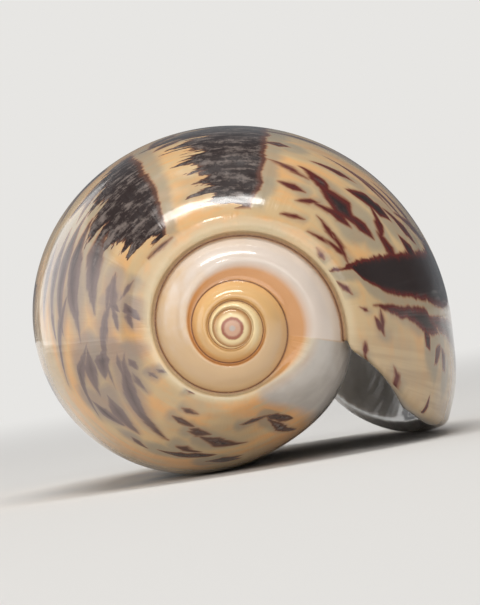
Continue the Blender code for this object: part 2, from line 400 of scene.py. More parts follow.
# %% [markdown]
# ## From the profile into space
# The lip isn't straight: between the suture and the front it runs ahead, so the growth lines that copy
# it do too. That lead is taken off the turn before the profile is swung round the axis. The axis is Y,
# with the apex near zero and the picture's X and Z across it.

# %% The outer surface
@rule("Lead", ["Turn", "Step"], ["Lead"])
def lead(turn, step):
    back = size("Lip lead at the back")
    middle = size("Lip lead in the middle")
    forward = back * smooth(step, 0.5, 2.4) + middle * smooth(step, 2.9, 3.7)
    forward = forward + (size("Lip lead at the front") - back - middle) * smooth(step, 3.7, 4.0)
    return forward * (1.0 - smooth(turn, 0.0, size("Slot's end")))


def in_space(turn, place):
    angle = turn * (2 * math.pi) + LIP_ANGLE
    return together(place[0] * calc("COSINE", angle), place[1], place[0] * calc("SINE", angle))


@rule("Outer surface", ["Turn", "Step"], ["X", "Y", "Z"])
def outer(turn, step):
    here = turn - lead(turn, step)
    return in_space(here, outer_place(here, step))


# %% [markdown]
# The grooves are the finest lines on the shell, and their colour has to follow them exactly. So one more
# group measures, as a share of the groove's radius, how far a place is past its own groove and how far
# before the next one.

# %% Beside the sutures
@rule("Beside the sutures", ["Turn", "Step"], ["Past", "Before"])
def beside_sutures(turn, step):
    here = turn - lead(turn, step)
    radius = outer_place(here, step)[0]
    return together(radius / suture(here)[0] - 1.0, 1.0 - radius / suture(here - 1.0)[0])


# %% [markdown]
# ## The hollow
# The hollow has its own profile: it starts on the whorl that the lip overlaps, keeps the wall's thickness
# inside the outer surface, and comes down to the pillar. At the front the wall stays open as a slot,
# which closes over half a turn.

# %% The wall of the hollow
ROOF_STEP = 2.5  # where the hollow's roof meets the covered whorl
FLOOR_STEP = 3.9  # where its wall meets the pillar


def slot_closing(turn):
    closed = ramp(turn, 0.0, size("Slot's end"))
    return closed * closed * closed


@rule("Wall of the hollow", ["Turn", "Step"], ["X", "Y", "Z"])
def inner(turn, step):
    here = turn - lead(turn, step)
    groove, crest, shoulder, slope, widest, end, end_slope = knots(here)
    wall = size("Wall")
    roof = outer_place(here + 1.0, ROOF_STEP)
    floor = outer_place(here + 1.0, FLOOR_STEP)
    shoulder_in = shoulder + wall * together(-slope[1], slope[0])
    widest_in = widest - outward(wall)
    gap = end - wall * together(end_slope[1], -end_slope[0]) - floor
    gap = together(calc("MAXIMUM", gap[0], calc("MAXIMUM", -0.35 * gap[1], 0.0)), gap[1])
    end_in = floor + gap * (1.0 - slot_closing(here))
    span = shoulder_in - roof
    drop = widest_in - shoulder_in
    taper = end_in - widest_in
    pieces = (
        (roof, roof + outward(0.45 * span[0]), shoulder_in - slope * (0.25 * length(span)), shoulder_in),
        (shoulder_in, shoulder_in + slope * (0.3 * length(drop)), widest_in - down(0.45 * drop[1]), widest_in),
        (widest_in, widest_in + down(0.42 * taper[1]), end_in - end_slope * (0.3 * length(taper)), end_in),
    )
    return in_space(here, chain(pieces, calc("MAXIMUM", step / 2.0, step - 1.0)))


# %% [markdown]
# ## The rounded edges
# The lip and the free edge of the slot are half-round: a half circle goes from the outer surface to the
# wall of the hollow. Where the lip meets the covered whorl it is let down onto it, so no gap stays open,
# and the slot's edge is let down onto the pillar in the same way.

# %% The half-round edge of the lip
def rolled(start, finish, forward, around):
    across = start - finish
    width = calc("SQRT", across[0] * across[0] + across[1] * across[1] + across[2] * across[2])
    swell = calc("MINIMUM", 0.5 * width, 0.5 * size("Wall"))
    turned = around * math.pi
    middle = (start + finish) * 0.5
    return middle + across * (0.5 * calc("COSINE", turned)) + forward * (swell * calc("SINE", turned))


@rule("Free lip edge", ["Step", "Around"], ["X", "Y", "Z"])
def free_lip_edge(step, around):
    angle = LIP_ANGLE - lead(0.0, step) * (2 * math.pi)
    forward = together(calc("SINE", angle), 0.0, -calc("COSINE", angle))
    return rolled(outer(0.0, step), inner(0.0, step), forward, around)


@rule("Lip edge", ["Step", "Around"], ["X", "Y", "Z"])
def lip_edge(step, around):
    on_whorl = outer(1.0, 2.0 + (ROOF_STEP - 2.0) * around)
    gap = on_whorl - free_lip_edge(0.0, around)
    return free_lip_edge(step, around) + gap * (1.0 - smooth(step, 0.0, 1.8))


# %% [markdown]
# The slot's edge is rolled in the same way. Over a short stretch of turn it runs into the lip's edge at
# one end and onto the pillar at the other.

# %% The edge of the slot
SLOT_BLEND = 0.09  # turns, over which the slot's edge runs into its neighbours


@rule("Free slot edge", ["Turn", "Around"], ["X", "Y", "Z"])
def free_slot_edge(turn, around):
    forward = together(0.0, 1.0 - slot_closing(turn), 0.0)
    return rolled(outer(turn, 4.0), inner(turn, 4.0), forward, around)


@rule("Slot edge", ["Turn", "Around"], ["X", "Y", "Z"])
def slot_edge(turn, around):
    slot_end = size("Slot's end")
    to_lip = lip_edge(4.0, around) - free_slot_edge(0.0, around)
    on_pillar = outer(slot_end + 1.0, 4.0 - (4.0 - FLOOR_STEP) * around)
    to_pillar = on_pillar - free_slot_edge(slot_end, around)
    edge = free_slot_edge(turn, around) + to_lip * (1.0 - smooth(turn, 0.0, SLOT_BLEND))
    return edge + to_pillar * smooth(turn, slot_end - SLOT_BLEND, slot_end)


# %% [markdown]
# ## The two ends
# The first whorl is a blunt dome, and the front end of the pillar is a small rounded cap. Both are closed
# by rings that shrink to one point.

# %% The nucleus and the pillar's tip
@rule("Nucleus", ["Turn", "Ring"], ["X", "Y", "Z"])
def nucleus(turn, ring):
    rim = suture(size("First turn"))
    bent = ring * (0.5 * math.pi)
    dome = together(rim[0] * calc("COSINE", bent), rim[1] - size("Nucleus rise") * calc("SINE", bent))
    return in_space(turn, dome)


@rule("Pillar tip", ["Turn", "Ring"], ["X", "Y", "Z"])
def pillar_tip(turn, ring):
    here = turn + calc("LESS_THAN", turn, size("Slot's end") - 1e-4)
    rim = front_end(here)
    slope = knots(here)[6]
    reach = 0.6 * size("Tip rounding") / slope[1]
    top = together(0.0, size("Shell length"))
    return in_space(turn, chain(((rim, rim + slope * reach, top + outward(0.6 * rim[0]), top),), ring))


print(len(bpy.data.node_groups), "groups of", sum(len(group.nodes) for group in bpy.data.node_groups), "nodes")

# %% [markdown]
# ## Sewing the shell together
# The shell is nine patches, each a grid whose points one of the rules moves into place. Neighbouring
# patches have the same points along their seam, so merging by distance closes it. Each corner of a face
# also keeps its growth turn, its step and how far it is inside, because the colours follow these. They are
# kept on corners and not on points: at the suture one point belongs to two whorls, with two numbers each.

# %% One patch of the surface
ROWS = 200  # in a turn
COLUMNS = (6, 16, 24, 120)  # for each step of the profile
AROUND = 12  # round an edge
RINGS = 6
ALL = sum(COLUMNS)
ROOF = sum(COLUMNS[:2]) + round((ROOF_STEP - 2.0) * COLUMNS[2])
FLOOR = ALL - round((4.0 - FLOOR_STEP) * COLUMNS[3])


def step_at(column):
    """The step of a column: the columns are spread evenly inside each step."""
    step = 0.0
    before = 0
    for count in COLUMNS:
        step = step + ramp(column, float(before), float(before + count))
        before += count
    return step


def node_of(kind, **inputs):
    node = Rule.now.tree.nodes.new(kind)
    for label, term in inputs.items():
        socket = node.inputs[label.replace("_", " ")]
        if isinstance(term, bpy.types.NodeSocket):
            Rule.now.tree.links.new(term, socket)
        else:
            socket.default_value = term
    return node


def vector_of(flows):
    node = Rule.now.tree.nodes.new("ShaderNodeCombineXYZ")
    for flow, socket in zip(flows, node.inputs):
        plug(flow, socket)
    return node.outputs[0]


def patch(rows, columns, place, growth, step, inside):
    """A grid of faces from the first to the last of ROWS and COLUMNS.

    PLACE and the three numbers to keep are functions of a row and a column.
    """
    counts = rows[1] - rows[0], columns[1] - columns[0]
    grid = node_of("GeometryNodeMeshGrid", Vertices_X=counts[0] + 1, Vertices_Y=counts[1] + 1)
    spread = node_of("ShaderNodeSeparateXYZ", Vector=grid.outputs["UV Map"])
    row = Flow(spread.outputs[0]) * float(counts[0]) + float(rows[0])
    column = Flow(spread.outputs[1]) * float(counts[1]) + float(columns[0])
    target = vector_of(place(row, column))
    moved = node_of("GeometryNodeSetPosition", Geometry=grid.outputs["Mesh"], Position=target)
    made = moved.outputs[0]
    numbers = {"growth": growth(row, column), "step": step(row, column), "inside": inside(row, column)}
    numbers["turn"] = numbers["growth"] - lead(numbers["growth"], numbers["step"])
    numbers["past"], numbers["before"] = beside_sutures(numbers["growth"], numbers["step"])
    for label, number in numbers.items():
        keep = node_of("GeometryNodeStoreNamedAttribute", Geometry=made, Name=label)
        keep.data_type = "FLOAT"
        keep.domain = "CORNER"
        plug(number, keep.inputs["Value"])
        made = keep.outputs[0]
    return made


# %% [markdown]
# Nine patches cover everything: the body whorl, the spire, two stretches of the covered whorl in the
# mouth, the wall of the hollow, the two rounded edges and the two end caps.

# %% The nine patches in one tree
def turn_at(row):
    return row / float(ROWS)


def whole(turns):
    return round(turns * ROWS)


SLOT = whole(SIZES["Slot's end"])
HOLLOW = whole(HOLLOW_END)
FIRST = whole(SIZES["First turn"])


def on_outside(row, column):
    return outer(turn_at(row), step_at(column))


def on_inside(row, column):
    return inner(turn_at(row), step_at(column))


def its_turn(row, column):
    return turn_at(row)


def its_step(row, column):
    return step_at(column)


def always(number):
    return lambda row, column: number


def rising(row, column):
    return column / float(AROUND)


shell_rule = Rule("Olive shell", [])
patches = [
    patch((0, ROWS), (0, ALL), on_outside, its_turn, its_step, always(0.0)),
    patch((ROWS, FIRST + ROWS), (0, COLUMNS[0] + COLUMNS[1]), on_outside, its_turn, its_step, always(0.0)),
    patch((ROWS, ROWS + SLOT), (ROOF, ALL), on_outside, its_turn, its_step, always(0.0)),
    patch((ROWS + SLOT, ROWS + HOLLOW), (ROOF, FLOOR), on_outside, its_turn, its_step, always(0.0)),
    patch((0, HOLLOW), (0, ALL), on_inside, its_turn, its_step, always(1.0)),
    patch((0, ALL), (0, AROUND), lambda row, column: lip_edge(step_at(row), column / float(AROUND)),
          always(0.0), lambda row, column: step_at(row), rising),
    patch((0, SLOT), (0, AROUND), lambda row, column: slot_edge(turn_at(row), column / float(AROUND)),
          its_turn, always(4.0), rising),
    patch((0, ROWS), (0, RINGS), lambda row, column: nucleus(turn_at(row), column / float(RINGS)),
          always(SIZES["First turn"] + 1.0), always(1.0), always(0.0)),
    patch((0, ROWS), (0, RINGS), lambda row, column: pillar_tip(turn_at(row), column / float(RINGS)),
          its_turn, always(4.0), always(0.0)),
]
print(len(patches), "patches,", len(shell_rule.tree.nodes), "nodes in the shell's tree")

# %% [markdown]
# The tree ends as every tree here does: the patches are joined, merged, laid on their side as the shell
# rests, scaled from millimetres to metres, and then Realize Instances and Set Material follow. The rest
# pose is a small roll and a tiny pitch, which let the shell lie on its lip and its body whorl.

# %% Join the patches and lay the shell down
REST_ROLL = math.radians(-9.2)
REST_PITCH = math.radians(-0.117)
MM = 0.001
SEAM = 0.004  # millimetres, within which the points of two patches become one
glazed_shell = bpy.data.materials.new("glazed_shell")
lie = Matrix.Rotation(REST_PITCH, 3, "X") @ Matrix.Rotation(-REST_ROLL, 3, "Y")

join = Rule.now.tree.nodes.new("GeometryNodeJoinGeometry")
for made in reversed(patches):
    Rule.now.tree.links.new(made, join.inputs[0])
merge = node_of("GeometryNodeMergeByDistance", Geometry=join.outputs[0], Distance=SEAM)
laid = node_of("GeometryNodeTransform", Geometry=merge.outputs[0], Rotation=lie.to_euler(), Scale=(MM, MM, MM))
real = node_of("GeometryNodeRealizeInstances", Geometry=laid.outputs[0])
coated = node_of("GeometryNodeSetMaterial", Geometry=real.outputs[0], Material=glazed_shell)
Rule.now.tree.interface.new_socket("Shell", in_out="OUTPUT", socket_type="NodeSocketGeometry")
leave = Rule.now.tree.nodes.new("NodeGroupOutput")
Rule.now.tree.links.new(coated.outputs[0], leave.inputs[0])

# %% [markdown]
# ## Growing it
# The tree goes on an empty mesh as a modifier. Its inputs are set by the sockets' identifiers before the
# object is first evaluated, because names may repeat but identifiers don't. The result becomes a plain
# mesh. The deep end of the hollow, which no one sees, is closed with one face, the normals are made to
# point outwards, and the skin is fitted to the frame's box: it has finer facets than the frame, so it
# would stand a few hundredths of a millimetre proud of it.

# %% Evaluate the tree and keep a plain mesh
seed = bpy.data.objects.new("seed", bpy.data.meshes.new("seed"))
bpy.context.scene.collection.objects.link(seed)
grow = seed.modifiers.new("grow", "NODES")
grow.node_group = shell_rule.tree
for item in shell_rule.tree.interface.items_tree:
    if item.in_out == "INPUT":
        grow[item.identifier] = SIZES[item.name]
grown = seed.evaluated_get(bpy.context.evaluated_depsgraph_get())
skin = bpy.data.meshes.new_from_object(grown)
bpy.data.objects.remove(seed)
print("grown:", len(skin.vertices), "points,", len(skin.polygons), "faces")

# %% [markdown]
# A mesh in a shared library has to be closed, so the hole is filled before the normals are turned. The
# fit changes no side by more than about a tenth of a percent.

# %% Close the deep end and fit the frame's box
work = bmesh.new()
work.from_mesh(skin)
open_edges = [edge for edge in work.edges if edge.is_boundary]
bmesh.ops.holes_fill(work, edges=open_edges, sides=0)
bmesh.ops.recalc_face_normals(work, faces=work.faces)
points = np.array([vert.co for vert in work.verts])
low = Vector(points.min(axis=0))
high = Vector(points.max(axis=0))
share = [(cad_high[axis] - cad_low[axis]) / (high[axis] - low[axis]) for axis in range(3)]
for vert in work.verts:
    vert.co = [cad_low[axis] + (vert.co[axis] - low[axis]) * share[axis] for axis in range(3)]
still_open = [edge for edge in work.edges if not edge.is_manifold]
work.to_mesh(skin)
work.free()
skin.shade_smooth()
shell = bpy.data.objects.new("glazed_skin", skin)
bpy.context.scene.collection.objects.link(shell)
print("open edges filled:", len(open_edges), "left:", len(still_open))
print("fit:", [round(part, 4) for part in share])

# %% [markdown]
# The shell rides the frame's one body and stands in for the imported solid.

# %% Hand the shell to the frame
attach(shell, "root")
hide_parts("shell")

# %% [markdown]
# ## The finish
# The glaze of such a shell is a clear gloss over cream porcelain, and the brown marks lie under it. The
# snail paints them at the lip while it grows, so they follow the growth: each starts as sharp points on
# its older side, the points widen and run together towards the lip, and the mark stops along a smooth
# growth line. An image could show that, but it would blur close up. Here nodes draw the marks from the
# numbers that the shell's corners kept, `turn` and `step`, laid out in millimetres.

# %% Open the material's tree
class Board:
    """A tree that is written node by node, without sizes of its own."""

    def __init__(self, tree):
        self.tree = tree
        Rule.now = self


glazed_shell.use_nodes = True
board = Board(glazed_shell.node_tree)
gloss = glazed_shell.node_tree.nodes["Principled BSDF"]


def kept(label):
    node = Rule.now.tree.nodes.new("ShaderNodeAttribute")
    node.attribute_name = label
    return Flow(node.outputs["Fac"])


turn = kept("turn")
step = kept("step")
inside = kept("inside")

AROUND_MM = 62.0  # one turn round the body whorl
FALLS = (0.6, 4.5, 15.5, 22.0)  # the way down the whorl in each step


def fall_at(step):
    return sum(fall * min(max(step - index, 0.0), 1.0) for index, fall in enumerate(FALLS))


fall = 0.0
for index, reach in enumerate(FALLS):
    fall = fall + ramp(step, float(index), index + 1.0) * reach
flat = vector_of((turn * AROUND_MM, fall, 0.0))
solid = node_of("ShaderNodeTexCoord").outputs["Object"]
solid_mm = node_of("ShaderNodeMapping", Vector=solid, Scale=(1 / MM, 1 / MM, 1 / MM)).outputs[0]
print("step 2 lies", fall_at(2.0), "mm down the whorl")


# %% [markdown]
# Colours are written as a screen shows them and turned into the shader's linear values. Grain is soft
# noise that can be stretched: long along the growth it makes fibres, long across it growth lines.

# %% Helpers for colours and grain
def colour(red, green, blue):
    """A colour as a screen shows it, from 0 to 255, for a shader."""
    return (*[((part / 255 + 0.055) / 1.055) ** 2.4 for part in (red, green, blue)], 1.0)


def tint(below, above, share):
    node = Rule.now.tree.nodes.new("ShaderNodeMix")
    node.data_type = "RGBA"
    plug(share, node.inputs["Factor"])
    for part, socket in ((below, node.inputs[6]), (above, node.inputs[7])):
        if isinstance(part, tuple):
            socket.default_value = part
        else:
            Rule.now.tree.links.new(part, socket)
    return node.outputs[2]


def grain(place, stretch, detail=2.0, roughness=0.5):
    """Soft noise round 0.5. STRETCH is how many of its lumps fit in a millimetre along each direction."""
    spread = node_of("ShaderNodeMapping", Vector=place, Scale=stretch).outputs[0]
    node = node_of("ShaderNodeTexNoise", Vector=spread, Scale=1.0, Detail=detail, Roughness=roughness)
    return Flow(node.outputs["Fac"])


# %% [markdown]
# ## The ground colour
# Under the marks the whorl is cream, clouded with orange and dusky grey that drift along the direction of
# growth. The rim beside the groove is paler, and the stretch next to the lip is duller, with soft growth
# bands. The band of older whorl inside the groove is nearly white with a lilac cast at first, then peach,
# and the slope down to the next groove is tan.

# %% Cream, orange and the band of the spire
APEX = (-0.566, -20.5, 7.82)  # where the apex lies, in millimetres
growth = kept("growth")
axis = node_of("ShaderNodeMapping", Vector=solid_mm, Location=(-APEX[0], 0.0, -APEX[2])).outputs[0]
spot = node_of("ShaderNodeSeparateXYZ", Vector=axis).outputs
from_axis = calc("SQRT", Flow(spot[0]) * Flow(spot[0]) + Flow(spot[2]) * Flow(spot[2]))
cloud = grain(flat, (0.16, 0.30, 1.0), 3.0, 0.6)
drift = grain(flat, (0.30, 1.3, 1.0), 3.0, 0.6)
dusk = grain(flat, (0.12, 0.45, 5.0), 2.0, 0.5)
fibres = grain(flat, (0.45, 2.6, 1.0), 3.0, 0.65)
orange = smooth(cloud * 0.6 + drift * 0.4, 0.44, 0.60)
ground = tint(colour(202, 173, 130), colour(222, 166, 104), orange * 0.8)
ground = tint(ground, colour(170, 154, 126), smooth(dusk, 0.48, 0.72) * 0.6)
ground = tint(ground, colour(222, 206, 170), smooth(step, 1.12, 1.0) * 0.6)
near_lip_tone = 1.0 - smooth(turn, -0.03, 0.035)
bands = grain(flat, (2.2, 0.10, 1.0), 2.0, 0.5)
banded = tint(colour(176, 152, 122), colour(196, 172, 138), smooth(bands, 0.4, 0.65))
ground = tint(ground, banded, near_lip_tone * 0.8)

on_spire = smooth(growth, 0.995, 1.0) * (1.0 - smooth(step, 2.02, 2.06))
band = tint(colour(220, 205, 192), colour(214, 180, 138), smooth(growth + (cloud - 0.5) * 0.5, 1.25, 1.6))
band = tint(band, colour(220, 176, 118), smooth(growth, 1.95, 2.1))
band = tint(band, colour(240, 216, 166), smooth(growth, 2.8, 3.0))
ground = tint(ground, band, on_spire)
slope = smooth(growth, 0.84, 0.92) * (1.0 - smooth(growth, 1.9, 2.1)) * (1.0 - smooth(step, 0.55, 1.05))
ground = tint(ground, colour(212, 148, 84), slope * 0.9)

# %% [markdown]
# The groove holds brown grit, and its dark line, darkest in its middle, is partly painted shade of the narrow
# channel. It fades to tan on both sides, and it is lost near the apex.

# %% Grit and painted shade in the grooves
grit = grain(solid_mm, (4.5, 4.5, 4.5), 4.0, 0.75)
past = kept("past") + (grit - 0.5) * 0.030
before = kept("before") + (grit - 0.5) * 0.024
# Partly painted shade: the tan fringe and the dark line darken the narrow groove as shade would, over its own
# brown grit.
groove_fringe_and_shade = calc("MAXIMUM", 1.0 - smooth(past, 0.008, 0.040), (1.0 - smooth(before, 0.006, 0.030)) * on_spire)
groove_grit_and_shade = calc("MAXIMUM", 1.0 - smooth(past, 0.0, 0.018), (1.0 - smooth(before, 0.0, 0.016)) * on_spire)
groove_grit_and_shade = groove_grit_and_shade * smooth(from_axis, 0.9, 1.6)
ground = tint(ground, colour(178, 122, 72), groove_fringe_and_shade * 0.8 * smooth(from_axis, 0.7, 1.0))
ground = tint(ground, colour(104, 66, 42), groove_grit_and_shade * smooth(grit, 0.25, 0.55))

# %% [markdown]
# ## The marks
# Two tools draw the marks. A blotch lies between two edges, each a curve that gives a turn for every
# step: a smooth younger edge and an older edge with teeth. A stroke is a single tooth, pointed at its
# older end. Both give a depth in millimetres, above zero inside the mark, so the deepest one wins where
# they meet. A second depth, for the grey smoke round the mark, reaches a little further. Noise bends the
# flat sheet first, so no edge is ruled.

# %% The bent sheet that the marks lie on
bend_round = grain(flat, (0.30, 0.55, 1.0), 3.0, 0.6) - 0.5
bend_down = grain(flat, (0.22, 0.50, 2.0), 2.0, 0.5) - 0.5
ripple = grain(flat, (0.35, 3.6, 1.0), 3.0, 0.65) - 0.5
marked_turn = turn + bend_round * 0.012 + ripple * 0.004
marked_step = step + bend_down * 0.06
sheet = vector_of((turn * AROUND_MM + bend_round * 0.7 + ripple * 0.2, fall + bend_down * 0.30, 0.0))

# %% [markdown]
# The three large blotches of this shell are given edge by edge, as steps and turns. Down to about step 2.3
# most points were measured in the photo and some moved. Further down the whorl turns out of sight, and the
# edges are guessed. Fibres tear the older edge, and the younger one stays smooth.

# %% A blotch between two edges
def edge(points):
    """A turn for every step, through POINTS (step, turn)."""
    node = node_of("ShaderNodeFloatCurve")
    curve = node.mapping.curves[0]
    curve.points[0].location = (0.0, points[0][1])
    curve.points[1].location = (1.0, points[-1][1])
    for at_step, at_turn in points:
        curve.points.new(at_step / 4.0, at_turn)
    for point in curve.points:
        point.handle_type = "VECTOR"
    node.mapping.update()
    plug(marked_step / 4.0, node.inputs["Value"])
    return Flow(node.outputs[0])


SMOKE_BEHIND = 1.0  # millimetres of smoke past a blotch's younger edge


def blotch(younger, older, first_step, last_step, torn):
    """Two depths: of the mark, and of its smoke. TORN is how far fibres tear the older edge, in mm."""
    ends = calc("MINIMUM", (marked_step - first_step) * 5.0, (last_step - marked_step) * 5.0)
    from_young = (marked_turn - edge(younger)) * AROUND_MM
    to_old = (edge(older) - marked_turn) * AROUND_MM + (fibres - 0.5) * torn
    to_old = calc("MINIMUM", to_old, ends)
    return together(calc("MINIMUM", from_young, to_old), calc("MINIMUM", from_young + SMOKE_BEHIND, to_old))


top_left = blotch(
    [(1.25, 0.367), (1.33, 0.361), (1.54, 0.354), (1.76, 0.350), (2.2, 0.349), (2.4, 0.352)],
    [(1.22, 0.366), (1.27, 0.386), (1.34, 0.390), (1.41, 0.416), (1.48, 0.406), (1.51, 0.432), (1.60, 0.412),
     (1.72, 0.436), (1.80, 0.420), (1.88, 0.434), (1.93, 0.420), (1.99, 0.437), (2.04, 0.415), (2.08, 0.393),
     (2.16, 0.410), (2.23, 0.392), (2.34, 0.410), (2.45, 0.366)],
    1.18, 2.5, 5.0)
top = blotch(
    [(1.3, 0.244), (1.6, 0.236), (2.0, 0.238), (2.6, 0.240), (3.2, 0.232)],
    [(1.30, 0.262), (1.37, 0.310), (1.46, 0.292), (1.54, 0.322), (1.60, 0.298), (1.71, 0.306), (1.78, 0.296),
     (1.86, 0.311), (1.94, 0.298), (2.02, 0.321), (2.12, 0.300), (2.22, 0.327), (2.30, 0.296), (2.40, 0.342),
     (2.52, 0.290), (2.70, 0.320), (2.90, 0.260)],
    1.26, 2.85, 5.0)
near_lip = blotch(
    [(1.01, 0.100), (1.20, 0.091), (1.28, 0.090), (1.34, 0.072), (1.41, 0.065), (1.53, 0.054), (1.87, 0.045),
     (2.24, 0.034), (2.8, 0.032), (3.4, 0.028)],
    [(1.01, 0.104), (1.16, 0.098), (1.35, 0.098), (1.64, 0.093), (1.91, 0.088), (2.35, 0.078), (2.5, 0.090),
     (2.62, 0.070), (2.8, 0.085), (3.0, 0.060), (3.2, 0.075), (3.4, 0.035)],
    1.0, 3.35, 0.6)
print("three blotches drawn")


# %% [markdown]
# A stroke is a width that grows from nothing at the older point, less the distance to the line through
# its two ends. The formula is one group, used once for each stroke. Its nodes are few and stand in the
# order they are worked out, because a shader can only hold so many numbers at the same time.

# %% Pointed strokes
DARK_END = 0.85  # in runs: past here the dark part narrows
DARK_TAPER = 2.2
SMOKE_END = 1.4  # in runs: as far as the smoke trails
SMOKE_SPREAD = 1.5  # how much wider than the dark part it is
STROKE_INPUTS = {"Place": "Vector", "Start": "Vector", "Run": "Vector", "Per run": "Vector", "Width": "Float"}


def vector_math(operation, first, second=None):
    node = Rule.now.tree.nodes.new("ShaderNodeVectorMath")
    node.operation = operation
    Rule.now.tree.links.new(first, node.inputs[0])
    if second is not None:
        Rule.now.tree.links.new(second, node.inputs["Scale" if operation == "SCALE" else 1])
    return node.outputs["Value" if operation in ("DOT_PRODUCT", "LENGTH") else "Vector"]


def stroke_group():
    """How deep a place is inside a stroke, and inside the smoke round and behind it."""
    group = bpy.data.node_groups.new("Pointed stroke", "ShaderNodeTree")
    for label, kind in STROKE_INPUTS.items():
        group.interface.new_socket(label, in_out="INPUT", socket_type=f"NodeSocket{kind}")
    for label in ("Depth", "Smoke"):
        group.interface.new_socket(label, in_out="OUTPUT", socket_type="NodeSocketFloat")
    Board(group)
    entry = node_of("NodeGroupInput").outputs
    leave = node_of("NodeGroupOutput").inputs
    from_start = vector_math("SUBTRACT", entry["Place"], entry["Start"])
    along = Flow(vector_math("DOT_PRODUCT", from_start, entry["Per run"]))
    held = calc("MINIMUM", calc("MAXIMUM", along, 0.0), SMOKE_END)
    nearest = vector_math("SCALE", entry["Run"], held.socket)
    off = Flow(vector_math("LENGTH", vector_math("SUBTRACT", from_start, nearest)))
    half = Flow(entry["Width"]) * calc("POWER", held, 0.7)
    taper = calc("MAXIMUM", held - DARK_END, 0.0) * Flow(entry["Width"]) * DARK_TAPER
    plug(half - taper - off, leave["Depth"])
    plug(half * SMOKE_SPREAD - off, leave["Smoke"])
    return group


pointed = stroke_group()
Rule.now = board


def stroke(old_turn, old_step, young_turn, young_step, width):
    start = np.array([old_turn * AROUND_MM, fall_at(old_step), 0.0])
    run = np.array([young_turn * AROUND_MM, fall_at(young_step), 0.0]) - start
    node = node_of("ShaderNodeGroup")
    node.node_tree = pointed
    Rule.now.tree.links.new(sheet, node.inputs["Place"])
    node.inputs["Start"].default_value = start
    node.inputs["Run"].default_value = run
    node.inputs["Per run"].default_value = run / (run @ run)
    node.inputs["Width"].default_value = width
    return together(Flow(node.outputs["Depth"]), Flow(node.outputs["Smoke"]))
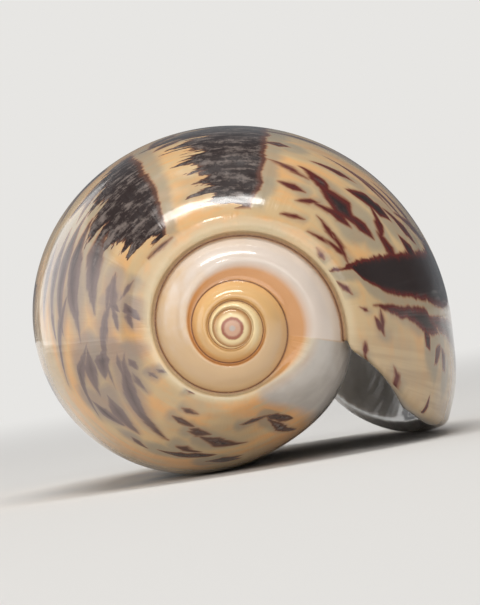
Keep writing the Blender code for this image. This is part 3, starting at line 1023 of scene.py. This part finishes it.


# %% [markdown]
# The strokes below are this shell's own marks: the turn and step of the older point, the turn and step of the
# younger end, and half the width there in millimetres. Most ends were measured in the photo, and a few were
# given. The widths were made larger, until the marks met as they do on the shell.

# %% The strokes of this shell
STROKES = (
    (0.206, 2.02, 0.177, 1.9, 0.41), (0.199, 2.11, 0.168, 2.14, 0.43), (0.184, 1.88, 0.144, 1.77, 0.69),
    (0.159, 2.03, 0.132, 2.1, 0.8), (0.142, 2.07, 0.121, 2.11, 0.8), (0.125, 2.15, 0.096, 2.22, 0.53),
    (0.166, 1.64, 0.14, 1.65, 0.36), (0.166, 1.48, 0.14, 1.37, 0.22), (0.149, 1.42, 0.113, 1.31, 0.22),
    (0.164, 1.2, 0.14, 1.23, 0.17), (0.145, 1.24, 0.114, 1.29, 0.17), (0.195, 1.51, 0.178, 1.62, 0.24),
    (0.181, 1.61, 0.153, 1.64, 0.22), (0.221, 1.71, 0.199, 1.69, 0.28), (0.205, 1.26, 0.184, 1.3, 0.16),
    (0.148, 1.75, 0.118, 1.79, 0.41), (0.137, 2.08, 0.113, 2, 0.38), (0.112, 1.91, 0.088, 1.93, 0.34),
    (0.1, 2.1, 0.08, 2.13, 0.72), (0.191, 2.26, 0.141, 2.24, 0.25), (0.174, 2.26, 0.126, 2.28, 0.3),
    (0.146, 2.35, 0.107, 2.38, 0.44), (0.118, 2.23, 0.088, 2.43, 0.53), (0.085, 1.02, 0.069, 1.09, 0.22),
    (0.139, 1.09, 0.124, 1.07, 0.16), (0.238, 2.01, 0.205, 1.93, 0.18), (0.242, 2.2, 0.226, 2.2, 0.55),
    (0.258, 2.42, 0.198, 2.47, 0.62), (0.043, 1.36, 0.03, 1.8, 0.45), (0.038, 1.5, 0.02, 2.1, 0.75),
    (0.026, 1.95, 0.01, 2.7, 0.8), (0.038, 1.43, 0.021, 1.43, 0.2), (0.044, 1.17, 0.039, 1.24, 0.13),
    (0.425, 2.35, 0.383, 2.29, 0.8), (0.425, 2.2, 0.38, 2.3, 0.59), (0.432, 2.5, 0.378, 2.7, 0.8),
    (0.408, 1.21, 0.376, 1.19, 0.14), (0.505, 1.61, 0.432, 1.83, 0.62), (0.516, 1.84, 0.442, 2.04, 0.8),
    (0.528, 2.05, 0.444, 2.13, 0.8), (0.515, 2.16, 0.455, 2.21, 0.72), (0.515, 2.29, 0.465, 2.31, 0.62),
    (0.515, 1.37, 0.468, 1.44, 0.31), (0.503, 1.47, 0.469, 1.48, 0.19), (0.506, 1.1, 0.489, 1.23, 0.48),
    (0.497, 1.31, 0.49, 1.42, 0.34), (0.483, 1.34, 0.457, 1.26, 0.17), (0.339, 2.39, 0.322, 2.52, 0.62),
    (0.337, 2.28, 0.316, 2.33, 0.46), (0.595, 1.68, 0.508, 1.48, 0.29), (0.579, 1.72, 0.555, 1.62, 0.58),
    (0.595, 1.92, 0.556, 1.82, 0.41), (0.615, 2.11, 0.558, 1.94, 0.41), (0.687, 1.9, 0.592, 1.48, 0.48),
    (0.599, 1.5, 0.563, 1.43, 0.19), (0.654, 1.99, 0.612, 1.88, 0.41), (0.637, 1.99, 0.606, 2.03, 0.6),
    (0.587, 1.28, 0.571, 1.3, 0.29), (0.623, 1.37, 0.596, 1.36, 0.22), (0.67, 2.1, 0.656, 2.07, 0.38),
    (0.535, 1.86, 0.496, 1.88, 0.24), (0.571, 2.18, 0.506, 2.05, 0.41), (0.533, 2.14, 0.505, 2.17, 0.34),
    (0.523, 1.34, 0.501, 1.38, 0.24), (0.52, 1.18, 0.499, 1.22, 0.24), (0.615, 1.03, 0.603, 1.08, 0.17),
    (0.613, 1.15, 0.6, 1.18, 0.19), (0.685, 1.01, 0.673, 1.02, 0.13), (0.71, 1.56, 0.685, 1.5, 0.29),
    (0.709, 1.32, 0.688, 1.3, 0.22), (0.737, 1.71, 0.713, 1.64, 0.34), (0.729, 2.02, 0.706, 1.99, 0.36),
    (0.747, 2.07, 0.7, 2.07, 0.56), (0.78, 2.2, 0.757, 2.16, 0.56), (0.79, 2.02, 0.741, 1.84, 0.45),
    (0.736, 1.7, 0.712, 1.68, 0.32), (0.748, 2.07, 0.718, 2.06, 0.56), (0.781, 2.16, 0.75, 2.15, 0.56),
    (0.87, 2.02, 0.837, 1.79, 0.49), (0.857, 2.18, 0.835, 1.99, 0.56), (0.833, 1.69, 0.796, 1.64, 0.29),
    (0.003, 1.17, -0.011, 1.17, 0.2), (-0.029, 1.32, -0.034, 1.35, 0.18), (-0.019, 1.55, -0.03, 1.63, 0.2),
    (-0.03, 1.63, -0.044, 1.75, 0.22), (0.005, 2.21, -0.006, 2.14, 0.44), (0.004, 2.22, -0.01, 2.26, 0.56),
    (-0.035, 2.1, -0.05, 2.09, 0.4), (0.018, 2.03, 0.005, 2.06, 0.6), (0.031, 1.34, 0.017, 1.41, 0.26),
)


def deeper(first, second):
    return together(*(calc("MAXIMUM", one, other) for one, other in zip(first, second)))


marks = deeper(deeper(top_left, top), near_lip)
for numbers in STROKES:
    marks = deeper(marks, stroke(*numbers))
print(len(STROKES), "strokes drawn")

# %% [markdown]
# Round the rest of the shell the marks come from the rule alone. About nine times in a turn a growth line
# starts a new row: just behind it the streaks are full, and further back only the strongest are left, as
# points.

# %% Rows of points all round the shell
ROWS_IN_A_TURN = 9.0
row = turn * ROWS_IN_A_TURN + (grain(flat, (0.045, 0.10, 1.0), 1.0, 0.5) - 0.5) * 2.2
row = calc("FRACT", row + 10.0)
streaks = grain(flat, (0.22, 1.1, 1.0), 3.0, 0.6)
plenty = grain(flat, (0.05, 0.07, 3.0), 2.0, 0.5)
rows = (streaks - 0.30 + (plenty - 0.5) * 0.9 - row * 0.55) * 3.2
hidden = (smooth(step, 2.35, 2.75) - 0.5) * 4.0
all_round = calc("MINIMUM", calc("MINIMUM", rows, (row - 0.01) * 8.0), hidden)
all_smoke = calc("MINIMUM", rows + 0.25, hidden)

# %% [markdown]
# Each mark has a chestnut rim and a nearly black middle, and from its younger end a grey smoke trails away
# under the glaze. Away from the lip lighter grey specks are painted into the middles: painted glints of the
# glaze. Near the lip the rims are redder. On the shell's left the marks are painted grey and violet: a painted
# reflection, the milky veil of the light on that side. The spire, the rim of the groove, the mouth and the
# front end stay bare, and just before the white glaze the ground is warmer.

# %% Lay the marks on the ground
NO_MARK = 9.0  # millimetres, more than any mark is deep
white_edge = 0.815 + smooth(step, 1.1, 2.1) * 0.050
white_glaze = smooth(turn - white_edge + (cloud - 0.5) * 0.03, 0.0, 0.035)
bare = calc("MAXIMUM", smooth(inside, 0.2, 0.5), on_spire)
bare = calc("MAXIMUM", bare, 1.0 - smooth(step, 0.95, 1.02))
bare = calc("MAXIMUM", bare, calc("MAXIMUM", white_glaze, smooth(step, 3.50, 3.56)))
depth = calc("MAXIMUM", marks[0], all_round) + (fibres - 0.5) * 0.35 - bare * NO_MARK
smoke = calc("MAXIMUM", marks[1], all_smoke) + (drift - 0.5) * 0.5 - bare * NO_MARK
warm = smooth(turn - white_edge, -0.075, -0.02) * smooth(step, 1.0, 1.2) * (1.0 - smooth(step, 2.2, 2.5))
warm = warm * (1.0 - on_spire)
ground = tint(ground, colour(224, 166, 106), warm * smooth(drift, 0.3, 0.55) * 0.8)
# Painted reflection: on the shell's left, from turn 0.42 to 0.69, the marks are greyed and tinted violet, the
# milky veil of the light on that side.
painted_veil = smooth(turn, 0.42, 0.47) * (1.0 - smooth(turn, 0.62, 0.69)) * (1.0 - smooth(step, 2.3, 2.8))
# Painted reflection: this noise lays lighter grey glints of the glaze into the dark cores of the marks, away
# from the lip.
glint_specks = grain(solid_mm, (1.6, 1.6, 1.6), 5.0, 0.75) * 0.5 + fibres * 0.5
haze = tint(colour(148, 140, 122), colour(136, 124, 120), painted_veil)
painted = tint(ground, haze, smooth(smoke, -0.35 - painted_veil * 0.35, 0.40) * 0.72)
painted = tint(painted, colour(160, 98, 58), smooth(depth, -0.14, 0.02) * (1.0 - painted_veil) * 0.55)
rim = tint(colour(90, 58, 44), colour(92, 30, 22), 1.0 - smooth(turn, 0.20, 0.26))
painted = tint(painted, tint(rim, colour(122, 104, 100), painted_veil), smooth(depth, -0.06, 0.12))
core = tint(colour(40, 27, 24), colour(116, 104, 98), smooth(glint_specks, 0.47, 0.62) * smooth(turn, 0.12, 0.24))
painted = tint(painted, tint(core, colour(92, 78, 78), painted_veil), smooth(depth, 0.10, 0.50))

# %% [markdown]
# ## White glaze
# Beside the mouth the snail lays clear white enamel over the marks, and the inside of the shell is the same
# enamel. Here the enamel beside the mouth is painted grey, as shade, and the inside is painted near white, as
# the light that the hollow lacks. Towards the front end a band of it runs round the shell, with a tan line at
# its border.

# %% Enamel on the mouth, the inside and the front band
front_band = smooth(step, 3.50, 3.56)
border = smooth(step, 3.40, 3.50) * (1.0 - front_band)
painted = tint(painted, colour(190, 130, 78), border * 0.6 * (1.0 - inside))
shore = tint(colour(232, 216, 192), colour(222, 192, 152), smooth(cloud * 0.7 + drift * 0.3, 0.38, 0.66))
painted = tint(painted, shore, front_band)
# Painted shade and light: the enamel beside the mouth is painted grey as shade, and the inside is painted near
# white as the light that the hollow doesn't get.
enamel_shade_and_light = tint(colour(198, 191, 183), colour(182, 174, 166), smooth(cloud, 0.35, 0.7))
enamel_shade_and_light = tint(enamel_shade_and_light, colour(247, 243, 238), smooth(inside, 0.5, 1.0))
cover = white_glaze * (1.0 - on_spire) * smooth(step, 0.7, 1.3)
painted = tint(painted, enamel_shade_and_light, calc("MAXIMUM", smooth(inside, 0.15, 0.6), cover))

# %% [markdown]
# The very tip is the shell that the snail hatched with. It is pink-brown with a paler middle.

# %% The nucleus
from_axis = from_axis + (grit - 0.5) * 0.12
at_apex = (1.0 - smooth(Flow(spot[1]), -18.0, -17.0)) * (1.0 - smooth(from_axis, 0.56, 0.66))
bud = tint(colour(200, 186, 176), colour(212, 168, 140), smooth(from_axis, 0.08, 0.22))
bud = tint(bud, colour(164, 98, 74), smooth(from_axis, 0.36, 0.52))
painted = tint(painted, bud, at_apex)

# %% [markdown]
# ## Gloss
# One clear coat lies over everything, so the gloss is the same on dark and light places. The surface
# under it isn't perfectly even: growth lines and shallow dents make the reflections waver, and the groove
# is rough.

# %% Coat and bump
board.tree.links.new(painted, gloss.inputs["Base Color"])
gloss.inputs["Coat Weight"].default_value = 0.6
gloss.inputs["Coat Roughness"].default_value = 0.05
plug(0.22 + groove_grit_and_shade * 0.4, gloss.inputs["Roughness"])
dents = grain(solid_mm, (0.35, 0.35, 0.35), 2.0, 0.5)
lines = grain(flat, (2.2, 0.12, 1.0), 2.0, 0.6)
relief = dents * 0.40 + lines * 0.055 * (1.0 - on_spire * 0.85) + grit * groove_grit_and_shade * 0.10
bump = node_of("ShaderNodeBump", Strength=0.5, Distance=MM)
plug(relief, bump.inputs["Height"])
board.tree.links.new(bump.outputs[0], gloss.inputs["Normal"])
print(len(board.tree.nodes), "nodes in the finish")

# %% [markdown]
# ## The camera
# The photograph looks straight at the apex, through a long lens. How far off the lens was can't be told, so
# 0.3 m is taken. The shell is turned by 9.2 degrees in the picture. The camera stands on the shell's axis
# and is rolled by that angle, so the shell itself can lie as it would on a table.

# %% A camera on the shell's axis
PICTURE = (480, 605)
APEX_IN_PICTURE = (232.4, 328.4)
PIXEL = 0.0572 * MM  # at the shell's widest point
DISTANCE = 0.300  # from the lens to the widest point
apex = Vector(APEX) * MM
gap = DISTANCE - SIZES["Widest point's depth"] * MM
right = Vector((math.cos(-REST_ROLL), 0, math.sin(REST_ROLL)))
up = Vector((-math.sin(REST_ROLL), 0, math.cos(REST_ROLL)))
pixel_at_apex = PIXEL * gap / DISTANCE
aim = apex + right * (PICTURE[0] / 2 - APEX_IN_PICTURE[0]) * pixel_at_apex
aim = aim + up * (APEX_IN_PICTURE[1] - PICTURE[1] / 2) * pixel_at_apex
lens = bpy.data.cameras.new("camera")
lens.sensor_width = 36
lens.lens = 36 * DISTANCE / (PICTURE[1] * PIXEL)
camera = bpy.data.objects.new("camera", lens)
camera.matrix_world = Matrix((right, up, (0, -1, 0))).transposed().to_4x4()
camera.location = (aim.x, apex.y - gap, aim.z)
bpy.context.scene.collection.objects.link(camera)
bpy.context.scene.camera = camera
print("lens:", round(lens.lens), "mm")

# %% [markdown]
# ## Floor and light
# The floor is plain and pale, and far away it melts into the same pale colour as the air, so no horizon
# cuts the picture. The light is a studio's: a long wall to the left, which the glaze shows as a milky
# veil, a panel above, a wide weak one in front, and a small one for the spark on the rim.

# %% A pale floor that melts away
PALE = (0.80, 0.79, 0.77, 1.0)
PAPER = (0.66, 0.65, 0.635, 1.0)  # a little darker, so that lit paper comes out pale
paper = bmesh.new()
bmesh.ops.create_grid(paper, x_segments=2, y_segments=2, size=3.0)
floor_mesh = bpy.data.meshes.new("floor")
paper.to_mesh(floor_mesh)
paper.free()
floor = bpy.data.objects.new("floor", floor_mesh)
bpy.context.scene.collection.objects.link(floor)
floor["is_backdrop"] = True
floor_finish = bpy.data.materials.new("pale_paper")
floor_finish.use_nodes = True
floor_mesh.materials.append(floor_finish)
floor_board = Board(floor_finish.node_tree)
matt = floor_finish.node_tree.nodes["Principled BSDF"]
matt.inputs["Base Color"].default_value = PAPER
matt.inputs["Roughness"].default_value = 0.9
matt.inputs["Specular IOR Level"].default_value = 0.1
away = node_of("ShaderNodeVectorMath", Vector=node_of("ShaderNodeTexCoord").outputs["Object"])
away.operation = "LENGTH"
glow = node_of("ShaderNodeEmission", Color=PALE)
melt = node_of("ShaderNodeMixShader")
plug(smooth(Flow(away.outputs["Value"]), 0.05, 0.30), melt.inputs[0])
floor_board.tree.links.new(matt.outputs[0], melt.inputs[1])
floor_board.tree.links.new(glow.outputs[0], melt.inputs[2])
surface = floor_finish.node_tree.nodes["Material Output"].inputs["Surface"]
floor_board.tree.links.new(melt.outputs[0], surface)

# %% [markdown]
# The air gives a dim, cool fill. The long panel above draws the bright bow on top of the whorl, and the
# wide one in front is so large and weak that the glaze hardly shows it.

# %% The studio
COOL_AIR = (0.75, 0.78, 0.82, 1.0)
FILL = 0.24  # the strength of the air's light
world = bpy.data.worlds.new("studio")
world.use_nodes = True
bpy.context.scene.world = world
air = Board(world.node_tree)
seen = world.node_tree.nodes["Background"]
seen.inputs["Color"].default_value = PALE
lit = node_of("ShaderNodeBackground", Color=COOL_AIR, Strength=FILL)
choose = node_of("ShaderNodeMixShader")
ray = node_of("ShaderNodeLightPath")
air.tree.links.new(ray.outputs["Is Camera Ray"], choose.inputs[0])
air.tree.links.new(lit.outputs[0], choose.inputs[1])
air.tree.links.new(seen.outputs[0], choose.inputs[2])
air.tree.links.new(choose.outputs[0], world.node_tree.nodes["World Output"].inputs["Surface"])

WARM_WHITE = (1.0, 0.98, 0.95)
LIT_SPOT = Vector((0.0, -0.01, 0.01))


def panel(title, place, sides, power):
    """A rectangular lamp that faces the shell: PLACE and SIDES in metres, POWER in watts."""
    light = bpy.data.lights.new(title, "AREA")
    light.shape = "RECTANGLE"
    light.size, light.size_y = sides
    light.energy = power
    light.color = WARM_WHITE
    lamp = bpy.data.objects.new(title, light)
    lamp.location = place
    lamp.rotation_euler = (LIT_SPOT - Vector(place)).to_track_quat("-Z", "Y").to_euler()
    lamp.visible_camera = False
    bpy.context.scene.collection.objects.link(lamp)


panel("left wall", (-0.36, 0.12, 0.15), (0.80, 0.32), 1.0)
panel("top panel", (0.0, -0.06, 0.42), (0.34, 0.08), 1.2)
panel("front panel", (0.0, -0.60, 0.24), (1.0, 0.44), 2.4)
panel("spark", (0.01, -0.30, 0.30), (0.05, 0.03), 0.12)
bpy.context.scene.view_settings.view_transform = "Standard"

# %% [markdown]
# Last, the shell's box is measured again and written beside the frame's, so the two can be compared.

# %% Write the two boxes
low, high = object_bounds()
print("the shell's box in mm:", [round(1000 * side, 2) for side in high - low])
